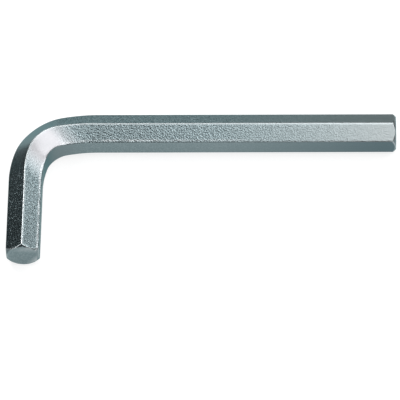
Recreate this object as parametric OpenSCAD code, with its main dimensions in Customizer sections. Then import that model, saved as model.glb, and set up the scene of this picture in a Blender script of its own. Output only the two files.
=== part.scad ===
// L-shaped key bent from one length of hexagon bar.
// It lies flat on its side: the bend's plane is horizontal, a flat of the bar faces into the
// crook and one faces out of it, and a long edge of each arm rests on the ground.
// The origin is on the ground at the middle of the key's outline; the long arm runs along +X
// and the short arm along -Y.

/* [Bar] */
// Width across the flats of the hexagon bar
across_flats = 12; // [8:0.5:17]
// Radius that tumbling leaves on the six long edges
edge_radius = 0.4; // [0.1:0.05:1]

/* [Arms] */
// Length of the long arm, over the outside of the short arm
long_arm = 140; // [110:1:220]
// Length of the short arm, over the outside of the long arm
short_arm = 58; // [50:1:100]

/* [Bend] */
// Radius of the bar's centre line round the middle of the bend
bend_radius = 14.5; // [12.5:0.5:24]
// Radius of the easy curve that leads from the long arm into the bend
long_lead_radius = 65; // [30:1:90]
// Angle that this easy curve turns through, in degrees
long_lead_angle = 11.5; // [4:0.5:20]
// Radius of the easy curve that leads from the bend into the short arm
short_lead_radius = 36; // [20:1:50]
// Angle that this easy curve turns through, in degrees
short_lead_angle = 18; // [4:0.5:25]
// Angle between two neighbouring cross-sections round the bend, in degrees
bend_step = 3; // [2:0.5:6]

/* [Bar squeezed by the bending] */
// How far each long edge of the outer flat closes in, where the metal is stretched
outer_narrowing = 1; // [0:0.05:1.5]
// How far each long edge of the inner flat spreads, where the metal is upset
inner_spreading = 0.7; // [0:0.05:1]
// How far the inner flat is pressed towards the centre line
inner_pressing = 0.15; // [0:0.05:0.5]
// How far the upper and lower edges are drawn towards the outside of the bend
edge_draw = 1.2; // [0:0.05:1.5]
// How far the upper and lower edges sink towards the centre line
edge_sink = 0.25; // [0:0.05:0.5]

/* [Tips] */
// Height of the chamfer over a long edge of the bar, measured towards the centre line
tip_chamfer = 1; // [0.6:0.05:2]
// Slope of the chamfer away from the end face, in degrees
tip_chamfer_slope = 45; // [20:1:60]

/* [Hidden] */
steel = "#8c9a9e";

half_flats = across_flats / 2;
half_corners = half_flats / cos(30);
// A rounded long edge: centre of its arc, reach from the bar's axis, and facets
edge_centre = half_corners - edge_radius / cos(30);
edge_reach = edge_centre + edge_radius;
edge_facets = 4;

// Lengths of bar that the three arcs of the bend take along each arm
long_lead_excess = long_lead_radius - bend_radius;
short_lead_excess = short_lead_radius - bend_radius;
bend_start = short_lead_radius - short_lead_excess * cos(short_lead_angle)
           + long_lead_excess * sin(long_lead_angle);
bend_end = long_lead_radius - long_lead_excess * cos(long_lead_angle)
         + short_lead_excess * sin(short_lead_angle);

// Centres of the three arcs, with the crossing of the two arms' axes at [0, 0]
long_lead_centre = [bend_start, -long_lead_radius];
middle_centre = long_lead_centre
              + long_lead_excess * [cos(90 + long_lead_angle), sin(90 + long_lead_angle)];
short_lead_centre = [short_lead_radius, -bend_end];

// Tips, measured along each arm's axis from the crossing, and the bar left on for cutting them
long_tip = long_arm - half_flats;
short_tip = short_arm - half_flats;
saw_allowance = 1;
tip_radius = edge_reach - tip_chamfer;
cutter_margin = 1;

// A cross-section's place on the centre line: point, and direction out of the bend in degrees
function station(centre, radius, angle) =
    [centre + radius * [cos(angle), sin(angle)], angle];

// Stations round one arc from angle a to angle b, evenly spaced, without the first one
function arc_stations(centre, radius, a, b) =
    let (steps = ceil((b - a) / bend_step))
    [for (i = [1:steps]) station(centre, radius, a + (b - a) * i / steps)];

stations = concat(
    [[[long_tip + saw_allowance, 0], 90]],
    [station(long_lead_centre, long_lead_radius, 90)],
    arc_stations(long_lead_centre, long_lead_radius, 90, 90 + long_lead_angle),
    arc_stations(middle_centre, bend_radius, 90 + long_lead_angle, 180 - short_lead_angle),
    arc_stations(short_lead_centre, short_lead_radius, 180 - short_lead_angle, 180),
    [[[0, -short_tip - saw_allowance], 180]]
);

// How far a section is into the bend: 0 at the arms, 1 half way round
function bent(angle) = sin(2 * (angle - 90));

// Centres of a section's six rounded edges, as [out of the bend, up], starting at the top.
// The upper and lower edges are drawn out early in the bend, and the rest follows further in.
function edge_centres(share) =
    let (
        squeeze = share * share,
        flat = edge_centre * cos(30),
        pressed = flat - inner_pressing * squeeze,
        outer = edge_centre / 2 - outer_narrowing * squeeze,
        inner = edge_centre / 2 + inner_spreading * squeeze,
        drawn = edge_draw * share,
        top = edge_centre - edge_sink * squeeze
    )
    [
        [drawn, top],
        [flat, outer],
        [flat, -outer],
        [drawn, -top],
        [-pressed, -inner],
        [-pressed, inner]
    ];

// Direction square to the side that runs from point p to point q, away from the bar's axis
function side_normal(p, q) = atan2(p[0] - q[0], q[1] - p[1]);

// Turn from direction a to direction b, taken clockwise, between 0 and 360 degrees
function turn(a, b) = (a - b + 720) % 360;

// Outline of a section: each edge is an arc between the directions of its two sides
function section(share) =
    let (c = edge_centres(share))
    [
        for (i = [0:5])
        let (
            from = side_normal(c[i], c[(i + 5) % 6]),
            to = side_normal(c[(i + 1) % 6], c[i])
        )
        for (k = [0:edge_facets])
        let (a = from - turn(from, to) * k / edge_facets)
        c[i] + edge_radius * [cos(a), sin(a)]
    ];

// Outline of a section set up at its station
function ring(s) =
    let (out = [cos(s[1]), sin(s[1])])
    [for (p = section(bent(s[1]))) [s[0][0] + p[0] * out[0], s[0][1] + p[0] * out[1], p[1]]];

// The bar, bent, with its two ends still sawn square and a little too long
module bent_bar() {
    rings = [for (s = stations) ring(s)];
    count = len(rings[0]);
    last = len(rings) - 1;
    polyhedron(
        points = [for (r = rings) each r],
        faces = concat(
            [[for (i = [count - 1:-1:0]) i]],
            [
                for (j = [0:last - 1], i = [0:count - 1])
                let (a = j * count + i, b = j * count + (i + 1) % count)
                each [[a, b, b + count], [a, b + count, a + count]]
            ],
            [[for (i = [0:count - 1]) last * count + i]]
        ),
        convexity = 4
    );
}

// What is turned away at a tip: all beyond the end face, and all outside the chamfer's cone.
// The end face lies at z = 0 and the bar comes up from below.
module tip_waste() {
    reach = tip_chamfer + cutter_margin;
    rotate_extrude($fn = 96)
        polygon([
            [0, 0],
            [tip_radius, 0],
            [tip_radius + reach, -reach * tan(tip_chamfer_slope)],
            [tip_radius + reach, saw_allowance + cutter_margin],
            [0, saw_allowance + cutter_margin]
        ]);
}

module hex_key() {
    color(steel)
        translate([half_flats - long_arm / 2, short_arm / 2 - half_flats, edge_reach])
            difference() {
                bent_bar();
                translate([long_tip, 0, 0])
                    rotate([0, 90, 0])
                        tip_waste();
                translate([0, -short_tip, 0])
                    rotate([90, 0, 0])
                        tip_waste();
            }
}

hex_key();
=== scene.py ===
"""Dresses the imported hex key: its bent bar as a smooth mesh, its plated steel, and a plain studio."""

import math

import bpy
from bpy.props import FloatProperty, FloatVectorProperty, IntProperty, PointerProperty
from mathutils import Matrix, Vector


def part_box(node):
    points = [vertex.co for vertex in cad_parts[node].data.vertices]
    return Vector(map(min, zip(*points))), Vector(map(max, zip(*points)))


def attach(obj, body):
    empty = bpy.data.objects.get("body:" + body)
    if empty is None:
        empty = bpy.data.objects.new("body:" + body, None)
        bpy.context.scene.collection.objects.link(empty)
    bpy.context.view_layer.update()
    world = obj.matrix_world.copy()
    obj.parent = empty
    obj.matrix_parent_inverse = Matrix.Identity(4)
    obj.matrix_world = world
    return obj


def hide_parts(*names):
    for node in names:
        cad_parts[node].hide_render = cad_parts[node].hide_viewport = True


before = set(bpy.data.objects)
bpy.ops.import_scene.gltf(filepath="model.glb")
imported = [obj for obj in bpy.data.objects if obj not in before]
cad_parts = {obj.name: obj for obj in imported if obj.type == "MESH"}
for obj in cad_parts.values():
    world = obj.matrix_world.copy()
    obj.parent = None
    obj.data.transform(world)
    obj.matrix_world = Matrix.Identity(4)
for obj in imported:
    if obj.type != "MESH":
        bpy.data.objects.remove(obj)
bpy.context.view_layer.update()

bl_info = {
    "name": "Hex key",
    "version": (1, 0, 0),
    "blender": (4, 5, 0),
    "location": "3D View > Sidebar > Hex key",
    "description": "Builds a bent hexagon key in plated steel, with a plain studio round it",
    "category": "Add Mesh",
}

MM = 0.001
KEY_LOW, KEY_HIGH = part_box("hex_key")

# The photograph's frame: its side in pixels, and the focal length in pixels that its perspective fits
PHOTO_SIDE = 400
FOCAL_PIXELS = 6912.8
SENSOR_WIDTH = 36.0
CLIP_RANGE = (0.05, 50.0)

# Half the angle that one flat of the hexagon spans, seen from the bar's axis
HALF_FLAT_ANGLE = math.radians(30)

# The chamfer at each tip is shaped by extra cross-sections: over how many heights of the chamfer they
# reach, how many there are, and the power by which they crowd towards the end face
TIP_ZONE = 1.35
TIP_STEPS = 28
TIP_CROWDING = 1.5

# Two points of the centre line that are closer than this, in metres, are one
SAME_PLACE = 1e-6

# Faces of the sweep have four corners, and only the two end faces have more
SWEPT_CORNERS = 4

# A long edge is rubbed bright, partly as a painted highlight, from just below the end of its flats,
# and fully just below its top
RUB_STARTS_BELOW = 0.02 * MM
RUB_FULL_BELOW = 0.03 * MM

# Numbers of a Mix node's sockets for colours, which share their names with others
MIX_A, MIX_B, MIX_RESULT = 6, 7, 2


def linear(hex_colour):
    """A colour written as sRGB hex, such as 8c9a9e, as the linear RGBA that sockets take."""
    channels = [int(hex_colour[i:i + 2], 16) / 255 for i in (0, 2, 4)]
    return (*[c / 12.92 if c <= 0.04045 else ((c + 0.055) / 1.055) ** 2.4 for c in channels], 1.0)


def add_node(tree, kind, inputs=None, **settings):
    """Adds a node. Settings are its own properties; an input is a value or the socket it is linked from."""
    node = tree.nodes.new(kind)
    for name, value in settings.items():
        setattr(node, name, value)
    for key, value in (inputs or {}).items():
        if isinstance(value, bpy.types.NodeSocket):
            tree.links.new(value, node.inputs[key])
        else:
            node.inputs[key].default_value = value
    return node


# Sizes and colours that a user would change

class HexKeyShape(bpy.types.PropertyGroup):
    """Sizes of the bar and of its bend, the same as those of the solid, and how finely they are drawn."""

    long_arm: FloatProperty(
        name="Long arm", description="Length over the outside of the short arm",
        default=KEY_HIGH.x - KEY_LOW.x, unit="LENGTH", precision=5)
    short_arm: FloatProperty(
        name="Short arm", description="Length over the outside of the long arm",
        default=KEY_HIGH.y - KEY_LOW.y, unit="LENGTH", precision=5)
    across_flats: FloatProperty(
        name="Across flats", description="Width of the hexagon bar over two flats",
        default=12 * MM, unit="LENGTH", precision=5)
    edge_radius: FloatProperty(
        name="Edge radius", description="Radius that tumbling leaves on the long edges",
        default=0.4 * MM, unit="LENGTH", precision=5)
    bend_radius: FloatProperty(
        name="Bend radius", description="Radius of the centre line round the middle of the bend",
        default=14.5 * MM, unit="LENGTH", precision=5)
    long_lead_radius: FloatProperty(
        name="Long arm's lead-in radius", description="Radius of the easy curve next to the long arm",
        default=65 * MM, unit="LENGTH", precision=5)
    long_lead_angle: FloatProperty(
        name="Long arm's lead-in angle", description="Angle that this easy curve turns through",
        default=math.radians(11.5), subtype="ANGLE")
    short_lead_radius: FloatProperty(
        name="Short arm's lead-in radius", description="Radius of the easy curve next to the short arm",
        default=36 * MM, unit="LENGTH", precision=5)
    short_lead_angle: FloatProperty(
        name="Short arm's lead-in angle", description="Angle that this easy curve turns through",
        default=math.radians(18), subtype="ANGLE")
    outer_narrowing: FloatProperty(
        name="Outer narrowing", description="How far each edge of the outer flat closes in at the bend",
        default=1.0 * MM, unit="LENGTH", precision=5)
    inner_spreading: FloatProperty(
        name="Inner spreading", description="How far each edge of the inner flat spreads at the bend",
        default=0.7 * MM, unit="LENGTH", precision=5)
    inner_pressing: FloatProperty(
        name="Inner pressing", description="How far the inner flat is pressed towards the centre line",
        default=0.15 * MM, unit="LENGTH", precision=5)
    edge_draw: FloatProperty(
        name="Edge draw", description="How far the upper and lower edges are drawn outwards at the bend",
        default=1.2 * MM, unit="LENGTH", precision=5)
    edge_sink: FloatProperty(
        name="Edge sink", description="How far the upper and lower edges sink at the bend",
        default=0.25 * MM, unit="LENGTH", precision=5)
    tip_chamfer: FloatProperty(
        name="Tip chamfer", description="Height of the chamfer over a long edge, towards the centre line",
        default=1.0 * MM, unit="LENGTH", precision=5)
    tip_slope: FloatProperty(
        name="Tip slope", description="Slope of the chamfer away from the end face",
        default=math.radians(45), subtype="ANGLE")
    rim_break: FloatProperty(
        name="Rim break", description="How far the rim of an end face is broken",
        default=0.12 * MM, unit="LENGTH", precision=5)
    rim_blend: FloatProperty(
        name="Rim blend", description="Width over which the chamfer and the flats flow together",
        default=0.3 * MM, unit="LENGTH", precision=5)
    arc_segments: IntProperty(
        name="Arc segments", description="Cross-sections round each of the bend's three curves",
        default=30, min=4)
    edge_segments: IntProperty(
        name="Edge segments", description="Facets round each long edge", default=6, min=2)
    flat_cuts: IntProperty(
        name="Flat cuts", description="Lengthwise cuts across each flat", default=11, min=1)


class HexKeyFinish(bpy.types.PropertyGroup):
    """Colours and grain of the plated steel."""

    # Tumbling leaves grain about 0.1 mm wide. That is a quarter of a pixel here, so it is drawn
    # coarser, just wide enough to show.
    grain_size: FloatProperty(
        name="Grain size", description="Width of one grain of the tumbled surface",
        default=0.45 * MM, unit="LENGTH", precision=5)
    grain_height: FloatProperty(
        name="Grain height", description="Height of the grain between pit and peak",
        default=0.17 * MM, unit="LENGTH", precision=6)
    patch_size: FloatProperty(
        name="Patch size", description="Length of one patch that handling has worn lighter",
        default=4 * MM, unit="LENGTH", precision=5)
    roughness: FloatProperty(
        name="Roughness", description="How far the plate spreads what it mirrors",
        default=0.29, min=0.0, max=1.0, subtype="FACTOR")
    # Colour of the pits: partly the plate's darker film, partly painted shade in the grain's hollows
    pit_film_and_shade: FloatVectorProperty(
        name="Film in the pits", description="Colour of the plate where the grain is deep",
        default=linear("6a797d"), size=4, subtype="COLOR", min=0.0, max=1.0)
    peak_film: FloatVectorProperty(
        name="Film on the peaks", description="Colour of the plate where the grain stands up",
        default=linear("8d9b9e"), size=4, subtype="COLOR", min=0.0, max=1.0)
    held_film: FloatVectorProperty(
        name="Held flats", description="Colour of the slanting flats at the long tip, where it is held",
        default=linear("818788"), size=4, subtype="COLOR", min=0.0, max=1.0)
    # Painted shade: the upright flats at the long tip, darker for the floor that they mirror there
    long_tip_upright_shade: FloatVectorProperty(
        name="Shaded upright flats", description="Colour of the upright flats at the long tip",
        default=linear("65757a"), size=4, subtype="COLOR", min=0.0, max=1.0)
    # Partly wear and partly a painted highlight along the edges of the inner flat
    worn_film_and_highlight: FloatVectorProperty(
        name="Worn and highlit patches", description="Colour of the patches that handling has worn",
        default=linear("b4babc"), size=4, subtype="COLOR", min=0.0, max=1.0)
    bare_steel: FloatVectorProperty(
        name="Bare steel", description="Colour where the bending die has pressed the film away",
        default=linear("a3a3a6"), size=4, subtype="COLOR", min=0.0, max=1.0)
    # Partly rubbed metal and partly a painted highlight, along the long edges and round the chamfer's rim
    rubbed_edge_and_highlight: FloatVectorProperty(
        name="Rubbed and highlit edges", description="Colour of the edges that are rubbed bright",
        default=linear("aeb5b7"), size=4, subtype="COLOR", min=0.0, max=1.0)
    low_angle_tint: FloatVectorProperty(
        name="Low-angle tint", description="Share of the light that is mirrored at a low angle",
        default=linear("a0bcbe"), size=4, subtype="COLOR", min=0.0, max=1.0)


class HexKeyStudio(bpy.types.PropertyGroup):
    """Camera, floor and room."""

    camera_distance: FloatProperty(
        name="Camera distance", description="From the camera to the point that it aims at",
        default=2.5, unit="LENGTH")
    camera_elevation: FloatProperty(
        name="Camera elevation", description="Height of the view above the horizon",
        default=math.radians(58.0), subtype="ANGLE")
    camera_azimuth: FloatProperty(
        name="Camera azimuth", description="Turn of the view towards +X",
        default=math.radians(5.19), subtype="ANGLE")
    camera_roll: FloatProperty(
        name="Camera roll", description="Turn of the camera about its line of sight",
        default=math.radians(-4.535), subtype="ANGLE")
    aim: FloatVectorProperty(
        name="Aim", description="Point at the middle of the picture, at the height of the bar's axis",
        default=(-0.603 * MM, -5.466 * MM, 6.866 * MM),
        subtype="TRANSLATION", unit="LENGTH", precision=6)
    floor_radius: FloatProperty(
        name="Floor radius", description="Radius of the round sheet of paper under the key",
        default=8.0, unit="LENGTH")
    floor_colour: FloatVectorProperty(
        name="Floor", description="Colour of the paper as the key is lit by it",
        default=linear("8c8c8c"), size=4, subtype="COLOR", min=0.0, max=1.0)
    floor_glow: FloatProperty(
        name="Floor glow", description="Brightness added to the floor where it is seen, 1 being white",
        default=0.82, min=0.0, max=1.0, subtype="FACTOR")
    room_colour: FloatVectorProperty(
        name="Room", description="Colour of the dark room round the lights",
        default=linear("21292c"), size=4, subtype="COLOR", min=0.0, max=1.0)


# The bent bar

# The Geometry Nodes tree's named inputs, by the size that each takes its value from
BAR_INPUTS = {
    "across_flats": ("Across flats", "NodeSocketFloat"),
    "edge_radius": ("Edge radius", "NodeSocketFloat"),
    "outer_narrowing": ("Outer narrowing", "NodeSocketFloat"),
    "inner_spreading": ("Inner spreading", "NodeSocketFloat"),
    "inner_pressing": ("Inner pressing", "NodeSocketFloat"),
    "edge_draw": ("Edge draw", "NodeSocketFloat"),
    "edge_sink": ("Edge sink", "NodeSocketFloat"),
    "tip_radius": ("Tip radius", "NodeSocketFloat"),
    "tip_slope": ("Tip slope", "NodeSocketFloat"),
    "rim_break": ("Rim break", "NodeSocketFloat"),
    "rim_blend": ("Rim blend", "NodeSocketFloat"),
    "rub_starts": ("Rub starts", "NodeSocketFloat"),
    "rub_full": ("Rub full", "NodeSocketFloat"),
    "border_height": ("Border height", "NodeSocketFloat"),
    "border_reach": ("Border reach", "NodeSocketFloat"),
    "arc_segments": ("Arc segments", "NodeSocketInt"),
    "edge_segments": ("Edge segments", "NodeSocketInt"),
    "flat_cuts": ("Flat cuts", "NodeSocketInt"),
}

# What the sweep hands to each point of the bar, and its kind. It is removed again at the end.
SWEPT_ATTRIBUTES = {
    "axis": "FLOAT_VECTOR", "outwards": "FLOAT_VECTOR", "section": "FLOAT_VECTOR",
    "pull": "FLOAT_VECTOR", "bent": "FLOAT", "squeeze": "FLOAT", "from_tip": "FLOAT",
}


def centre_line(shape):
    """Points of the line that the bar's axis follows, from the long tip on, each with its radius.

    The three corners are rounded by their radius. Near the tips there is a point for each
    cross-section that shapes the chamfer, with no radius.
    """
    middle_angle = math.pi / 2 - shape.long_lead_angle - shape.short_lead_angle
    turns = (
        (shape.long_lead_radius, shape.long_lead_angle),
        (shape.bend_radius, middle_angle),
        (shape.short_lead_radius, shape.short_lead_angle),
    )
    corners, here, heading = [], Vector((0, 0, 0)), math.pi
    for radius, angle in turns:
        leg = radius * math.tan(angle / 2)
        here = here + leg * Vector((math.cos(heading), math.sin(heading), 0))
        corners.append((here, radius))
        heading += angle
        here = here + leg * Vector((math.cos(heading), math.sin(heading), 0))
    half_flats = shape.across_flats / 2
    axis_height = (KEY_LOW.z + KEY_HIGH.z) / 2
    crossing = Vector((KEY_LOW.x + half_flats, KEY_HIGH.y - half_flats, axis_height))
    shift = crossing - Vector((corners[-1][0].x, corners[0][0].y, 0))
    corners = [(point + shift, radius) for point, radius in corners]

    zone = TIP_ZONE * shape.tip_chamfer
    depths = [zone * (k / TIP_STEPS) ** TIP_CROWDING for k in range(TIP_STEPS + 1)]
    long_tip = Vector((KEY_LOW.x + shape.long_arm, crossing.y, axis_height))
    short_tip = Vector((crossing.x, KEY_HIGH.y - shape.short_arm, axis_height))
    start = [(long_tip - Vector((depth, 0, 0)), 0.0) for depth in depths]
    end = [(short_tip + Vector((0, depth, 0)), 0.0) for depth in reversed(depths)]
    return start + corners + end


def bar_rail(tree, size):
    """The rounded centre line, with what each cross-section needs to know as attributes."""
    line = add_node(tree, "GeometryNodeMeshToCurve", {"Mesh": size["Geometry"]})
    turn_radius = add_node(
        tree, "GeometryNodeInputNamedAttribute", {"Name": "turn_radius"}, data_type="FLOAT")
    line = add_node(tree, "GeometryNodeFilletCurve", {
        "Curve": line.outputs[0], "Count": size["Arc segments"],
        "Radius": turn_radius.outputs[0]}, mode="POLY")

    # One curve ends where the next begins, and that point is kept once
    position = add_node(tree, "GeometryNodeInputPosition")
    index = add_node(tree, "GeometryNodeInputIndex")
    previous = add_node(tree, "ShaderNodeMath", {0: index.outputs[0], 1: 1.0}, operation="SUBTRACT")
    previous_place = add_node(tree, "GeometryNodeFieldAtIndex", {
        "Value": position.outputs[0], "Index": previous.outputs[0]}, data_type="FLOAT_VECTOR")
    step = add_node(tree, "ShaderNodeVectorMath", {
        0: position.outputs[0], 1: previous_place.outputs[0]}, operation="DISTANCE")
    repeated = add_node(tree, "ShaderNodeMath", {
        0: step.outputs["Value"], 1: SAME_PLACE}, operation="LESS_THAN")
    line = add_node(tree, "GeometryNodeDeleteGeometry", {
        "Geometry": line.outputs[0], "Selection": repeated.outputs[0]}, domain="POINT")

    tangent = add_node(tree, "GeometryNodeInputTangent")
    outwards = add_node(tree, "ShaderNodeVectorMath", {
        0: tangent.outputs[0], 1: (0, 0, 1)}, operation="CROSS_PRODUCT")
    # How far a place is into the bend is the sine of twice its turn, and the squeeze is its square
    heading = add_node(tree, "ShaderNodeSeparateXYZ", {0: tangent.outputs[0]})
    half_bent = add_node(tree, "ShaderNodeMath", {
        0: heading.outputs["X"], 1: heading.outputs["Y"]}, operation="MULTIPLY")
    bent = add_node(tree, "ShaderNodeMath", {0: half_bent.outputs[0], 1: 2.0}, operation="MULTIPLY")
    squeeze = add_node(tree, "ShaderNodeMath", {0: bent.outputs[0], 1: 2.0}, operation="POWER")
    along = add_node(tree, "GeometryNodeSplineParameter")
    whole = add_node(tree, "GeometryNodeSplineLength")
    to_end = add_node(tree, "ShaderNodeMath", {
        0: whole.outputs["Length"], 1: along.outputs["Length"]}, operation="SUBTRACT")
    from_tip = add_node(tree, "ShaderNodeMath", {
        0: along.outputs["Length"], 1: to_end.outputs[0]}, operation="MINIMUM")

    rail = line.outputs[0]
    for name, value in (
        ("axis", position), ("outwards", outwards), ("bent", bent), ("squeeze", squeeze),
        ("from_tip", from_tip),
    ):
        rail = add_node(tree, "GeometryNodeStoreNamedAttribute", {
            "Geometry": rail, "Name": name, "Value": value.outputs[0],
        }, data_type=SWEPT_ATTRIBUTES[name]).outputs[0]
    return rail


def bar_profile(tree, size):
    """The rounded hexagon with an edge at the top, with each point's place as (out of the bend, up)."""
    half_flats = add_node(tree, "ShaderNodeMath", {0: size["Across flats"], 1: 0.5}, operation="MULTIPLY")
    half_corners = add_node(tree, "ShaderNodeMath", {
        0: half_flats.outputs[0], 1: math.cos(HALF_FLAT_ANGLE)}, operation="DIVIDE")
    hexagon = add_node(tree, "GeometryNodeCurvePrimitiveCircle", {
        "Resolution": 6, "Radius": half_corners.outputs[0]})

    # How far the bend pulls each of the six edges, in order from the top by way of the outside:
    # outwards and up as far as the section is squeezed, and outwards as far as it is bent
    index = add_node(tree, "GeometryNodeInputIndex")
    pull = add_node(tree, "GeometryNodeIndexSwitch", data_type="VECTOR")
    tree.links.new(index.outputs[0], pull.inputs["Index"])
    edges = (
        (0.0, "Edge sink", -1, size["Edge draw"]), (0.0, "Outer narrowing", -1, 0.0),
        (0.0, "Outer narrowing", 1, 0.0), (0.0, "Edge sink", 1, size["Edge draw"]),
        (size["Inner pressing"], "Inner spreading", -1, 0.0),
        (size["Inner pressing"], "Inner spreading", 1, 0.0),
    )
    while len(pull.index_switch_items) < len(edges):
        pull.index_switch_items.new()
    for number, (out, up_name, up_sign, early) in enumerate(edges):
        up = add_node(tree, "ShaderNodeMath", {0: size[up_name], 1: up_sign}, operation="MULTIPLY")
        edge_pull = add_node(tree, "ShaderNodeCombineXYZ", {"X": out, "Y": up.outputs[0], "Z": early})
        tree.links.new(edge_pull.outputs[0], pull.inputs[number + 1])
    profile = add_node(tree, "GeometryNodeStoreNamedAttribute", {
        "Geometry": hexagon.outputs[0], "Name": "pull", "Value": pull.outputs[0],
    }, data_type=SWEPT_ATTRIBUTES["pull"])
    profile = add_node(tree, "GeometryNodeFilletCurve", {
        "Curve": profile.outputs[0], "Count": size["Edge segments"], "Radius": size["Edge radius"],
    }, mode="POLY")

    # A flat follows the last point of each rounded edge, and only flats are cut
    per_edge = add_node(tree, "ShaderNodeMath", {0: size["Edge segments"], 1: 1.0}, operation="ADD")
    place_on_edge = add_node(tree, "ShaderNodeMath", {
        0: index.outputs[0], 1: per_edge.outputs[0]}, operation="MODULO")
    is_flat = add_node(tree, "ShaderNodeMath", {
        0: place_on_edge.outputs[0], 1: size["Edge segments"], 2: 0.5}, operation="COMPARE")
    cuts = add_node(tree, "ShaderNodeMath", {
        0: is_flat.outputs[0], 1: size["Flat cuts"]}, operation="MULTIPLY")
    profile = add_node(tree, "GeometryNodeSubdivideCurve", {
        "Curve": profile.outputs[0], "Cuts": cuts.outputs[0]})
    position = add_node(tree, "GeometryNodeInputPosition")
    up_and_out = add_node(tree, "ShaderNodeSeparateXYZ", {0: position.outputs[0]})
    section = add_node(tree, "ShaderNodeCombineXYZ", {
        "X": up_and_out.outputs["Y"], "Y": up_and_out.outputs["X"]})
    return add_node(tree, "GeometryNodeStoreNamedAttribute", {
        "Geometry": profile.outputs[0], "Name": "section", "Value": section.outputs[0],
    }, data_type=SWEPT_ATTRIBUTES["section"]).outputs[0]


def rubbed_and_highlit_places(tree, size, section, radius, cone):
    """How far each point is rubbed bright, partly as a painted highlight, and how far it lies in the border
    that handling wears, which also has a painted highlight.
    """
    # The long edges that the key lies and slides on, rubbed bright and partly painted highlight, up to
    # where the cone cuts them off
    out_and_up = add_node(tree, "ShaderNodeSeparateXYZ", {0: section}).outputs
    height = add_node(tree, "ShaderNodeMath", {0: out_and_up["Y"]}, operation="ABSOLUTE")
    long_edge = add_node(tree, "ShaderNodeMapRange", {
        "Value": height.outputs[0], "From Min": size["Rub starts"], "From Max": size["Rub full"],
        "To Min": 0.0, "To Max": 1.0})
    past_cone = add_node(tree, "ShaderNodeMath", {0: radius, 1: cone}, operation="SUBTRACT")
    cut = add_node(tree, "ShaderNodeMath", {
        0: past_cone.outputs[0], 1: size["Rim blend"]}, operation="DIVIDE")
    uncut = add_node(tree, "ShaderNodeMath", {
        0: 1.0, 1: cut.outputs[0]}, operation="SUBTRACT", use_clamp=True)
    long_edge = add_node(tree, "ShaderNodeMath", {
        0: long_edge.outputs[0], 1: uncut.outputs[0]}, operation="MULTIPLY")
    # The line where the cone cuts the flats, rubbed bright and partly a painted highlight round the
    # chamfer's rim
    from_line = add_node(tree, "ShaderNodeMath", {0: past_cone.outputs[0]}, operation="ABSOLUTE")
    from_line = add_node(tree, "ShaderNodeMath", {
        0: from_line.outputs[0], 1: size["Rim blend"]}, operation="DIVIDE")
    cone_line = add_node(tree, "ShaderNodeMath", {
        0: 1.0, 1: from_line.outputs[0]}, operation="SUBTRACT", use_clamp=True)
    rubbed = add_node(tree, "ShaderNodeMath", {
        0: long_edge.outputs[0], 1: cone_line.outputs[0]}, operation="MAXIMUM")

    # A narrow border of the slanting flats, next to the edges of the inner flat, partly worn lighter and
    # partly a painted highlight along those edges
    from_border = add_node(tree, "ShaderNodeMath", {
        0: height.outputs[0], 1: size["Border height"]}, operation="SUBTRACT")
    from_border = add_node(tree, "ShaderNodeMath", {0: from_border.outputs[0]}, operation="ABSOLUTE")
    from_border = add_node(tree, "ShaderNodeMath", {
        0: from_border.outputs[0], 1: size["Border reach"]}, operation="DIVIDE")
    near_border = add_node(tree, "ShaderNodeMath", {
        0: 1.0, 1: from_border.outputs[0]}, operation="SUBTRACT", use_clamp=True)
    inside = add_node(tree, "ShaderNodeMath", {0: out_and_up["X"], 1: 0.0}, operation="LESS_THAN")
    border = add_node(tree, "ShaderNodeMath", {
        0: near_border.outputs[0], 1: inside.outputs[0]}, operation="MULTIPLY")
    return rubbed.outputs[0], border.outputs[0]


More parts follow.
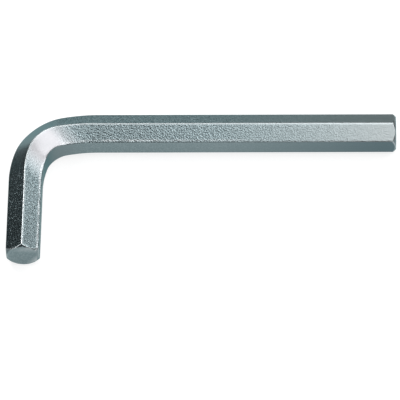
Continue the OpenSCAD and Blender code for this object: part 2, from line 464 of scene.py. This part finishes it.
def bent_bar_tree(material):
    """Geometry Nodes that sweep the hexagon along a centre line and squeeze it where the line turns."""
    tree = bpy.data.node_groups.new("bent_bar", "GeometryNodeTree")
    for in_out in ("INPUT", "OUTPUT"):
        tree.interface.new_socket("Geometry", in_out=in_out, socket_type="NodeSocketGeometry")
    for name, kind in BAR_INPUTS.values():
        tree.interface.new_socket(name, in_out="INPUT", socket_type=kind)
    size = add_node(tree, "NodeGroupInput").outputs
    bar = add_node(tree, "GeometryNodeCurveToMesh", {
        "Curve": bar_rail(tree, size), "Profile Curve": bar_profile(tree, size), "Fill Caps": True,
    }).outputs[0]
    read = {
        name: add_node(
            tree, "GeometryNodeInputNamedAttribute", {"Name": name}, data_type=kind).outputs[0]
        for name, kind in SWEPT_ATTRIBUTES.items()
    }

    # The section, squeezed
    late_pull = add_node(tree, "ShaderNodeVectorMath", {
        0: read["pull"], "Scale": read["squeeze"]}, operation="SCALE")
    late_pull = add_node(tree, "ShaderNodeSeparateXYZ", {0: late_pull.outputs[0]}).outputs
    early_pull = add_node(tree, "ShaderNodeSeparateXYZ", {0: read["pull"]}).outputs["Z"]
    out_pull = add_node(tree, "ShaderNodeMath", {
        0: early_pull, 1: read["bent"], 2: late_pull["X"]}, operation="MULTIPLY_ADD")
    pulled = add_node(tree, "ShaderNodeCombineXYZ", {"X": out_pull.outputs[0], "Y": late_pull["Y"]})
    squeezed = add_node(tree, "ShaderNodeVectorMath", {
        0: read["section"], 1: pulled.outputs[0]}, operation="ADD")
    radius = add_node(tree, "ShaderNodeVectorMath", {
        0: squeezed.outputs[0]}, operation="LENGTH").outputs["Value"]

    # The cone of the chamfer, with the end face's rim broken by the square of how near it is
    slope = add_node(tree, "ShaderNodeMath", {0: size["Tip slope"]}, operation="TANGENT")
    rise = add_node(tree, "ShaderNodeMath", {
        0: read["from_tip"], 1: slope.outputs[0]}, operation="DIVIDE")
    cone = add_node(tree, "ShaderNodeMath", {0: size["Tip radius"], 1: rise.outputs[0]}, operation="ADD")
    depth = add_node(tree, "ShaderNodeMath", {
        0: read["from_tip"], 1: size["Rim break"]}, operation="DIVIDE")
    near_rim = add_node(tree, "ShaderNodeMath", {
        0: 1.0, 1: depth.outputs[0]}, operation="SUBTRACT", use_clamp=True)
    near_rim = add_node(tree, "ShaderNodeMath", {0: near_rim.outputs[0], 1: 2.0}, operation="POWER")
    broken_off = add_node(tree, "ShaderNodeMath", {
        0: near_rim.outputs[0], 1: size["Rim break"]}, operation="MULTIPLY")
    limit = add_node(tree, "ShaderNodeMath", {
        0: cone.outputs[0], 1: broken_off.outputs[0]}, operation="SUBTRACT")
    held_radius = add_node(tree, "ShaderNodeMath", {
        0: radius, 1: limit.outputs[0], 2: size["Rim blend"]}, operation="SMOOTH_MIN")
    held_share = add_node(tree, "ShaderNodeMath", {
        0: held_radius.outputs[0], 1: radius}, operation="DIVIDE")
    shaped = add_node(tree, "ShaderNodeVectorMath", {
        0: squeezed.outputs[0], "Scale": held_share.outputs[0]}, operation="SCALE")

    # Every point's place round the axis
    out_and_up = add_node(tree, "ShaderNodeSeparateXYZ", {0: shaped.outputs[0]})
    sideways = add_node(tree, "ShaderNodeVectorMath", {
        0: read["outwards"], "Scale": out_and_up.outputs["X"]}, operation="SCALE")
    upwards = add_node(tree, "ShaderNodeCombineXYZ", {"Z": out_and_up.outputs["Y"]})
    offset = add_node(tree, "ShaderNodeVectorMath", {
        0: sideways.outputs[0], 1: upwards.outputs[0]}, operation="ADD")
    place = add_node(tree, "ShaderNodeVectorMath", {
        0: read["axis"], 1: offset.outputs[0]}, operation="ADD")

    rubbed, border = rubbed_and_highlit_places(tree, size, read["section"], radius, cone.outputs[0])
    for name, value in (("rubbed", rubbed), ("border", border)):
        bar = add_node(tree, "GeometryNodeStoreNamedAttribute", {
            "Geometry": bar, "Name": name, "Value": value}, data_type="FLOAT").outputs[0]
    bar = add_node(tree, "GeometryNodeSetPosition", {
        "Geometry": bar, "Position": place.outputs[0]}).outputs[0]
    for name in SWEPT_ATTRIBUTES:
        bar = add_node(tree, "GeometryNodeRemoveAttribute", {"Geometry": bar, "Name": name}).outputs[0]
    # The two end faces stay flat
    corners = add_node(tree, "GeometryNodeInputMeshFaceNeighbors")
    swept = add_node(tree, "ShaderNodeMath", {
        0: corners.outputs["Vertex Count"], 1: SWEPT_CORNERS + 0.5}, operation="LESS_THAN")
    bar = add_node(tree, "GeometryNodeSetShadeSmooth", {
        "Geometry": bar, "Shade Smooth": swept.outputs[0]})
    bar = add_node(tree, "GeometryNodeRealizeInstances", {"Geometry": bar.outputs[0]})
    bar = add_node(tree, "GeometryNodeSetMaterial", {"Geometry": bar.outputs[0], "Material": material})
    add_node(tree, "NodeGroupOutput", {"Geometry": bar.outputs[0]})
    return tree


# The finish

# Where it changes: what each share follows, from where to where, and its value at the two ends.
# Places are in millimetres, and X + Y grows round the bend from the short arm to the long one. "level"
# is how far a face looks up or down, and "facing_x" is how far it looks along X.
FINISH_SHARES = {
    # The slanting flats, where grain and wear show most, against upright faces
    "slanting": ("level", 0.2, 0.6, 0.0, 1.0),
    # Faces that lay against the bending die, above and below
    "die_face": ("level", 0.8, 0.9, 0.0, 1.0),
    # The stretch that the die pressed, from the long arm's side and from the short arm's
    "past_long_arm": ("x_plus_y", -25.0, -36.0, 0.0, 1.0),
    "past_short_arm": ("x_plus_y", -60.0, -48.0, 0.0, 1.0),
    # Grain, which is nearly worn away towards the long tip
    "grain_kept": ("x", -36.0, 64.0, 1.0, 0.22),
    # Towards the long tip, hands grey the slanting flats and painted shade darkens the upright ones;
    # towards the short tip, painted shade darkens the film, but not on its end face
    "towards_long_tip": ("x", 5.0, 66.0, 0.0, 1.0),
    "towards_short_tip": ("y", 12.0, -28.0, 0.0, 1.0),
    "before_end": ("y", -27.8, -28.4, 1.0, 0.0),
    # The outer side of the short arm, past the bend, where painted shade darkens the film
    "outer_side": ("facing_x", -0.2, -0.4, 0.0, 1.0),
    "past_bend": ("y", 16.0, 10.0, 0.0, 1.0),
    # The worn border with its painted highlight, which ends half way along the long arm
    "border_kept": ("x", -10.0, 25.0, 1.0, 0.0),
}

# Noise values between which the grain goes from pit to peak, and an unworn place to a worn patch
PIT_TO_PEAK = (0.34, 0.6)
UNWORN_TO_PATCH = (0.4, 0.6)
WEAR_BETWEEN_PATCHES = 0.3

# Share of the grain's depth on upright faces
UPRIGHT_GRAIN = 0.5

# Shares of the film's brightness that painted shade leaves: towards the short tip, on upright faces,
# on the short arm's outer side, and round the inside and outside of the bend
SHORT_TIP_PAINTED_SHADE = 0.7
UPRIGHT_PAINTED_SHADE = 0.84
OUTER_SIDE_PAINTED_SHADE = 0.58
BEND_SIDES_PAINTED_SHADE = 0.8


def plated_steel(finish):
    """Matt nickel plate on tumbled steel.

    It gives the eye a soft blue-grey metal sheen with a fine grain, smooth bare metal where the
    bending die pressed it, and bright lines along the edges that lie and slide on things, partly rubbed
    bright and partly painted highlight. In places painted shade darkens the plate.
    """
    material = bpy.data.materials.new("matt_nickel_plated_steel")
    material.use_nodes = True
    tree = material.node_tree
    shader = tree.nodes["Principled BSDF"]
    shader.inputs["Metallic"].default_value = 1.0
    shader.inputs["Roughness"].default_value = finish.roughness
    # Thin oxide keeps the flats from flaring up at a low angle, as clean metal would
    shader.inputs["Specular Tint"].default_value = finish.low_angle_tint

    coordinates = add_node(tree, "ShaderNodeTexCoord")
    millimetres = add_node(tree, "ShaderNodeVectorMath", {
        0: coordinates.outputs["Object"], "Scale": 1 / MM}, operation="SCALE")
    place = add_node(tree, "ShaderNodeSeparateXYZ", {0: millimetres.outputs[0]}).outputs
    x_plus_y = add_node(tree, "ShaderNodeMath", {0: place["X"], 1: place["Y"]}, operation="ADD")
    facing = add_node(tree, "ShaderNodeSeparateXYZ", {0: coordinates.outputs["Normal"]}).outputs
    level = add_node(tree, "ShaderNodeMath", {0: facing["Z"]}, operation="ABSOLUTE")
    follows = {
        "x": place["X"], "y": place["Y"], "x_plus_y": x_plus_y.outputs[0],
        "level": level.outputs[0], "facing_x": facing["X"],
    }
    share = {
        name: add_node(tree, "ShaderNodeMapRange", {
            "Value": follows[what], "From Min": start, "From Max": end,
            "To Min": at_start, "To Max": at_end}).outputs[0]
        for name, (what, start, end, at_start, at_end) in FINISH_SHARES.items()
    }
    # Rubbed bright, partly as a painted highlight
    rubbed = add_node(tree, "ShaderNodeAttribute", attribute_name="rubbed").outputs["Fac"]
    border = add_node(tree, "ShaderNodeAttribute", attribute_name="border").outputs["Fac"]
    pressed = add_node(tree, "ShaderNodeMath", {
        0: share["past_long_arm"], 1: share["past_short_arm"]}, operation="MULTIPLY").outputs[0]

    # Grain, pressed flat by the die, rubbed off the edges, and shallower on upright faces
    grain = add_node(tree, "ShaderNodeTexNoise", {
        "Vector": millimetres.outputs[0], "Scale": MM / finish.grain_size,
        "Detail": 1.0, "Roughness": 0.5}).outputs["Fac"]
    unpressed = add_node(tree, "ShaderNodeMath", {0: 1.0, 1: pressed}, operation="SUBTRACT")
    unrubbed = add_node(tree, "ShaderNodeMath", {0: 1.0, 1: rubbed}, operation="SUBTRACT", use_clamp=True)
    on_upright = add_node(tree, "ShaderNodeMapRange", {
        "Value": share["slanting"], "From Min": 0.0, "From Max": 1.0,
        "To Min": UPRIGHT_GRAIN, "To Max": 1.0})
    depth = share["grain_kept"]
    for factor in (unpressed, unrubbed, on_upright):
        depth = add_node(tree, "ShaderNodeMath", {
            0: depth, 1: factor.outputs[0]}, operation="MULTIPLY").outputs[0]
    bump = add_node(tree, "ShaderNodeBump", {
        "Height": grain, "Strength": depth, "Distance": finish.grain_height})
    tree.links.new(bump.outputs["Normal"], shader.inputs["Normal"])

    # Pits keep a darker film than the peaks, and this darkness is partly painted shade in the grain's
    # hollows
    open_grain = add_node(tree, "ShaderNodeMapRange", {
        "Value": grain, "From Min": PIT_TO_PEAK[0], "From Max": PIT_TO_PEAK[1],
        "To Min": 0.0, "To Max": 1.0})
    even = add_node(tree, "ShaderNodeMath", {0: 1.0, 1: depth}, operation="SUBTRACT")
    peak = add_node(tree, "ShaderNodeMath", {
        0: open_grain.outputs[0], 1: even.outputs[0]}, operation="MAXIMUM")
    film_and_painted_light = add_node(tree, "ShaderNodeMix", {
        "Factor": peak.outputs[0], MIX_A: finish.pit_film_and_shade, MIX_B: finish.peak_film,
    }, data_type="RGBA").outputs[MIX_RESULT]

    # Towards the long tip the slanting flats turn to the greyer film of handling, and the upright flats are
    # painted darker, a painted shade for the darker floor they mirror there. Painted shade also darkens the
    # film towards the short tip, on upright faces, and most on the outer side of the short arm.
    held = add_node(tree, "ShaderNodeMix", {
        "Factor": share["slanting"], MIX_A: finish.long_tip_upright_shade, MIX_B: finish.held_film,
    }, data_type="RGBA").outputs[MIX_RESULT]
    film_and_painted_light = add_node(tree, "ShaderNodeMix", {
        "Factor": share["towards_long_tip"], MIX_A: film_and_painted_light, MIX_B: held}, data_type="RGBA").outputs[MIX_RESULT]
    towards_short_tip = add_node(tree, "ShaderNodeMath", {
        0: share["towards_short_tip"], 1: share["before_end"]}, operation="MULTIPLY").outputs[0]
    shaded_outer_side = add_node(tree, "ShaderNodeMath", {
        0: share["outer_side"], 1: share["past_bend"]}, operation="MULTIPLY").outputs[0]
    for how_far, at_none, at_full in (
        # Painted shade towards the short tip
        (towards_short_tip, 1.0, SHORT_TIP_PAINTED_SHADE),
        # Painted shade on upright faces, which mirror the floor
        (share["slanting"], UPRIGHT_PAINTED_SHADE, 1.0),
        # Painted shade on the outer side of the short arm, which mirrors the dark room
        (shaded_outer_side, 1.0, OUTER_SIDE_PAINTED_SHADE),
    ):
        shade = add_node(tree, "ShaderNodeMapRange", {
            "Value": how_far, "From Min": 0.0, "From Max": 1.0, "To Min": at_none, "To Max": at_full})
        film_and_painted_light = add_node(tree, "ShaderNodeVectorMath", {
            0: film_and_painted_light, "Scale": shade.outputs[0]}, operation="SCALE").outputs[0]

    # The worn border, partly wear and partly a painted highlight along the edge, is brighter in patches,
    # which run through the bar from top to bottom
    in_plan = add_node(tree, "ShaderNodeVectorMath", {
        0: millimetres.outputs[0], 1: (1.0, 1.0, 0.0)}, operation="MULTIPLY")
    patches = add_node(tree, "ShaderNodeTexNoise", {
        "Vector": in_plan.outputs[0], "Scale": MM / finish.patch_size, "Detail": 2.0, "Roughness": 0.6})
    patch = add_node(tree, "ShaderNodeMapRange", {
        "Value": patches.outputs["Fac"], "From Min": UNWORN_TO_PATCH[0], "From Max": UNWORN_TO_PATCH[1],
        "To Min": WEAR_BETWEEN_PATCHES, "To Max": 1.0})
    worn_border_and_highlight = border
    for factor in (patch.outputs[0], share["border_kept"]):
        worn_border_and_highlight = add_node(tree, "ShaderNodeMath", {
            0: worn_border_and_highlight, 1: factor}, operation="MULTIPLY").outputs[0]
    film_and_painted_light = add_node(tree, "ShaderNodeMix", {
        "Factor": worn_border_and_highlight, MIX_A: film_and_painted_light, MIX_B: finish.worn_film_and_highlight,
    }, data_type="RGBA").outputs[MIX_RESULT]

    # The die leaves its two faces bare, above and below. Round the bend's inside and outside, painted shade
    # darkens the film. Last come the edges, rubbed bright and partly painted highlight.
    bare = add_node(tree, "ShaderNodeMath", {0: pressed, 1: share["die_face"]}, operation="MULTIPLY")
    bend_sides = add_node(tree, "ShaderNodeMath", {0: pressed, 1: bare.outputs[0]}, operation="SUBTRACT")
    bend_sides_painted_shade = add_node(tree, "ShaderNodeMapRange", {
        "Value": bend_sides.outputs[0], "From Min": 0.0, "From Max": 1.0, "To Min": 1.0, "To Max": BEND_SIDES_PAINTED_SHADE})
    film_and_painted_light = add_node(tree, "ShaderNodeVectorMath", {
        0: film_and_painted_light, "Scale": bend_sides_painted_shade.outputs[0]}, operation="SCALE").outputs[0]
    colour = film_and_painted_light
    for how_far, lighter in ((bare.outputs[0], finish.bare_steel), (rubbed, finish.rubbed_edge_and_highlight)):
        colour = add_node(tree, "ShaderNodeMix", {
            "Factor": how_far, MIX_A: colour, MIX_B: lighter}, data_type="RGBA").outputs[MIX_RESULT]
    tree.links.new(colour, shader.inputs["Base Color"])
    return material


class OBJECT_OT_hex_key(bpy.types.Operator):
    """Sweep the hexagon bar along its bent centre line and give it its plated finish"""

    bl_idname = "object.hex_key"
    bl_label = "Hex key"

    def execute(self, context):
        shape, finish = context.scene.hex_key_shape, context.scene.hex_key_finish
        points = centre_line(shape)
        mesh = bpy.data.meshes.new("hex_key_centre_line")
        mesh.from_pydata([place for place, _ in points], [(i, i + 1) for i in range(len(points) - 1)], [])
        turn_radius = mesh.attributes.new("turn_radius", "FLOAT", "POINT")
        turn_radius.data.foreach_set("value", [radius for _, radius in points])
        line = bpy.data.objects.new("hex_key_centre_line", mesh)
        context.scene.collection.objects.link(line)

        tree = bent_bar_tree(plated_steel(finish))
        sweep = line.modifiers.new("bent_bar", "NODES")
        sweep.node_group = tree
        half_corners = shape.across_flats / 2 / math.cos(HALF_FLAT_ANGLE)
        edge_centre = half_corners - shape.edge_radius / math.cos(HALF_FLAT_ANGLE)
        edge_reach = edge_centre + shape.edge_radius
        # A slanting flat starts at this height and is cut into equal strips. The worn border is full
        # at the first cut, and ends at the foot of the flat and at the second cut.
        flat_foot = edge_centre / 2 + shape.edge_radius * math.cos(HALF_FLAT_ANGLE)
        border_reach = edge_centre / 2 / (shape.flat_cuts + 1)
        worked_out = {
            "tip_radius": edge_reach - shape.tip_chamfer,
            "rub_starts": edge_centre + shape.edge_radius * math.cos(HALF_FLAT_ANGLE) - RUB_STARTS_BELOW,
            "rub_full": edge_reach - RUB_FULL_BELOW,
            "border_height": flat_foot + border_reach,
            "border_reach": border_reach,
        }
        sockets = {
            item.name: item.identifier
            for item in tree.interface.items_tree if item.in_out == "INPUT"
        }
        for key, (name, _) in BAR_INPUTS.items():
            sweep[sockets[name]] = worked_out[key] if key in worked_out else getattr(shape, key)

        context.view_layer.update()
        evaluated = line.evaluated_get(context.evaluated_depsgraph_get())
        skin = bpy.data.meshes.new_from_object(evaluated)
        bpy.data.objects.remove(line)
        if not skin.polygons:
            raise RuntimeError("the sweep made no faces")
        skin.name = "hex_key_bar"
        bar = bpy.data.objects.new("hex_key_bar", skin)
        context.scene.collection.objects.link(bar)
        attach(bar, "root")
        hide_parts("hex_key")
        return {"FINISHED"}


# The studio

FLOOR_SIDES = 96
PAPER_ROUGHNESS = 0.9

# Soft lights: name, centre, point aimed at, width and height in metres, and brightness where 1 is
# white. Each is the one that a certain face or edge of the key mirrors.
SOFTBOXES = (
    # The bend's upper face
    ("overhead_light", (0.03, 0.035, 0.42), (0.03, 0.035, 0.0), (0.36, 0.21), 2.7),
    # The long arm's wide face, from dark by the bend to light at its tip
    ("front_left_light", (-0.10, -0.17, 0.42), (-0.10, -0.17, 0.0), (0.22, 0.16), 0.78),
    ("front_right_light", (0.14, -0.17, 0.42), (0.14, -0.17, 0.0), (0.26, 0.16), 4.1),
    # The bend's foot, and the short arm's right face
    ("right_light", (0.27, 0.17, 0.425), (0.27, 0.17, 0.0), (0.20, 0.26), 1.5),
    ("far_right_light", (0.56, 0.31, 0.42), (0.56, 0.31, 0.0), (0.34, 0.58), 4.6),
    # The bright line along the upper edge
    ("ridge_light", (-0.21, 0.30, 0.42), (-0.21, 0.30, 0.0), (0.20, 0.14), 7.0),
    # Glints in the grain of the short arm's left face
    ("left_back_light", (-0.25, 0.17, 0.42), (0.0, 0.0, 0.0), (0.12, 0.12), 16.0),
    ("left_light", (-0.50, -0.12, 0.42), (0.0, 0.0, 0.0), (0.16, 0.20), 7.0),
    # The long arm's narrow upper band
    ("back_light", (0.06, 0.466, 0.29), (0.0, 0.0, 0.0), (0.38, 0.20), 2.7),
)


def add_softbox(context, name, centre, aim, size, brightness):
    """A rectangular lamp that the camera doesn't see, of the brightness that its face shows in a mirror."""
    light = bpy.data.lights.new(name, "AREA")
    light.shape = "RECTANGLE"
    light.size, light.size_y = size
    light.energy = brightness * math.pi * size[0] * size[1]
    lamp = bpy.data.objects.new(name, light)
    lamp.location = centre
    lamp.rotation_mode = "QUATERNION"
    lamp.rotation_quaternion = (Vector(aim) - Vector(centre)).to_track_quat("-Z", "Y")
    lamp.visible_camera = False
    context.scene.collection.objects.link(lamp)


def add_camera(context, studio):
    """The camera at the photograph's angle, with its roll."""
    elevation, azimuth, roll = studio.camera_elevation, studio.camera_azimuth, studio.camera_roll
    back = Vector((
        math.sin(azimuth) * math.cos(elevation), -math.cos(azimuth) * math.cos(elevation),
        math.sin(elevation)))
    level = (-back).cross(Vector((0, 0, 1))).normalized()
    upright = level.cross(-back)
    right = math.cos(roll) * level + math.sin(roll) * upright
    up = math.cos(roll) * upright - math.sin(roll) * level
    data = bpy.data.cameras.new("camera")
    data.sensor_width = SENSOR_WIDTH
    data.lens = FOCAL_PIXELS * SENSOR_WIDTH / PHOTO_SIDE
    data.clip_start, data.clip_end = CLIP_RANGE
    camera = bpy.data.objects.new("camera", data)
    camera.matrix_world = (
        Matrix.Translation(Vector(studio.aim) + studio.camera_distance * back)
        @ Matrix((right, up, back)).transposed().to_4x4()
    )
    context.scene.collection.objects.link(camera)
    context.scene.camera = camera


def white_paper(studio):
    """Matt paper that is grey to the light on the key, and white to the camera and in the steel."""
    paper = bpy.data.materials.new("white_paper")
    paper.use_nodes = True
    tree = paper.node_tree
    shader = tree.nodes["Principled BSDF"]
    shader.inputs["Base Color"].default_value = studio.floor_colour
    shader.inputs["Roughness"].default_value = PAPER_ROUGHNESS
    rays = add_node(tree, "ShaderNodeLightPath").outputs
    seen = rays["Is Camera Ray"]
    for kind in ("Is Glossy Ray", "Is Transmission Ray"):
        seen = add_node(tree, "ShaderNodeMath", {0: seen, 1: rays[kind]}, operation="MAXIMUM").outputs[0]
    glow = add_node(tree, "ShaderNodeMath", {0: seen, 1: studio.floor_glow}, operation="MULTIPLY")
    tree.links.new(glow.outputs[0], shader.inputs["Emission Strength"])
    return paper


class SCENE_OT_hex_key_studio(bpy.types.Operator):
    """Set up the camera at the photograph's angle, the pale floor and the soft lights"""

    bl_idname = "scene.hex_key_studio"
    bl_label = "Studio"

    def execute(self, context):
        scene, studio = context.scene, context.scene.hex_key_studio
        add_camera(context, studio)

        bpy.ops.mesh.primitive_circle_add(
            vertices=FLOOR_SIDES, radius=studio.floor_radius, fill_type="NGON")
        floor = context.object
        floor.name = "floor"
        floor.data.materials.append(white_paper(studio))

        for name, centre, aim, size, brightness in SOFTBOXES:
            add_softbox(context, name, centre, aim, size, brightness)

        world = bpy.data.worlds.new("room")
        world.use_nodes = True
        world.node_tree.nodes["Background"].inputs["Color"].default_value = studio.room_colour
        scene.world = world
        scene.view_settings.view_transform = "Standard"
        return {"FINISHED"}


class VIEW3D_PT_hex_key(bpy.types.Panel):
    """Sizes, finish and studio of the hex key"""

    bl_idname = "VIEW3D_PT_hex_key"
    bl_label = "Hex key"
    bl_space_type = "VIEW_3D"
    bl_region_type = "UI"
    bl_category = "Hex key"

    def draw(self, context):
        scene = context.scene
        for group in (scene.hex_key_shape, scene.hex_key_finish, scene.hex_key_studio):
            column = self.layout.column(align=True)
            for name in group.__annotations__:
                column.prop(group, name)
        for operator in (OBJECT_OT_hex_key, SCENE_OT_hex_key_studio):
            self.layout.operator(operator.bl_idname)


CLASSES = (
    HexKeyShape, HexKeyFinish, HexKeyStudio, OBJECT_OT_hex_key, SCENE_OT_hex_key_studio,
    VIEW3D_PT_hex_key,
)


def register():
    for cls in CLASSES:
        bpy.utils.register_class(cls)
    bpy.types.Scene.hex_key_shape = PointerProperty(type=HexKeyShape)
    bpy.types.Scene.hex_key_finish = PointerProperty(type=HexKeyFinish)
    bpy.types.Scene.hex_key_studio = PointerProperty(type=HexKeyStudio)


def unregister():
    del bpy.types.Scene.hex_key_shape
    del bpy.types.Scene.hex_key_finish
    del bpy.types.Scene.hex_key_studio
    for cls in reversed(CLASSES):
        bpy.utils.unregister_class(cls)


def main():
    register()
    bpy.ops.scene.hex_key_studio()
    bpy.ops.object.hex_key()


if __name__ == "__main__":
    main()
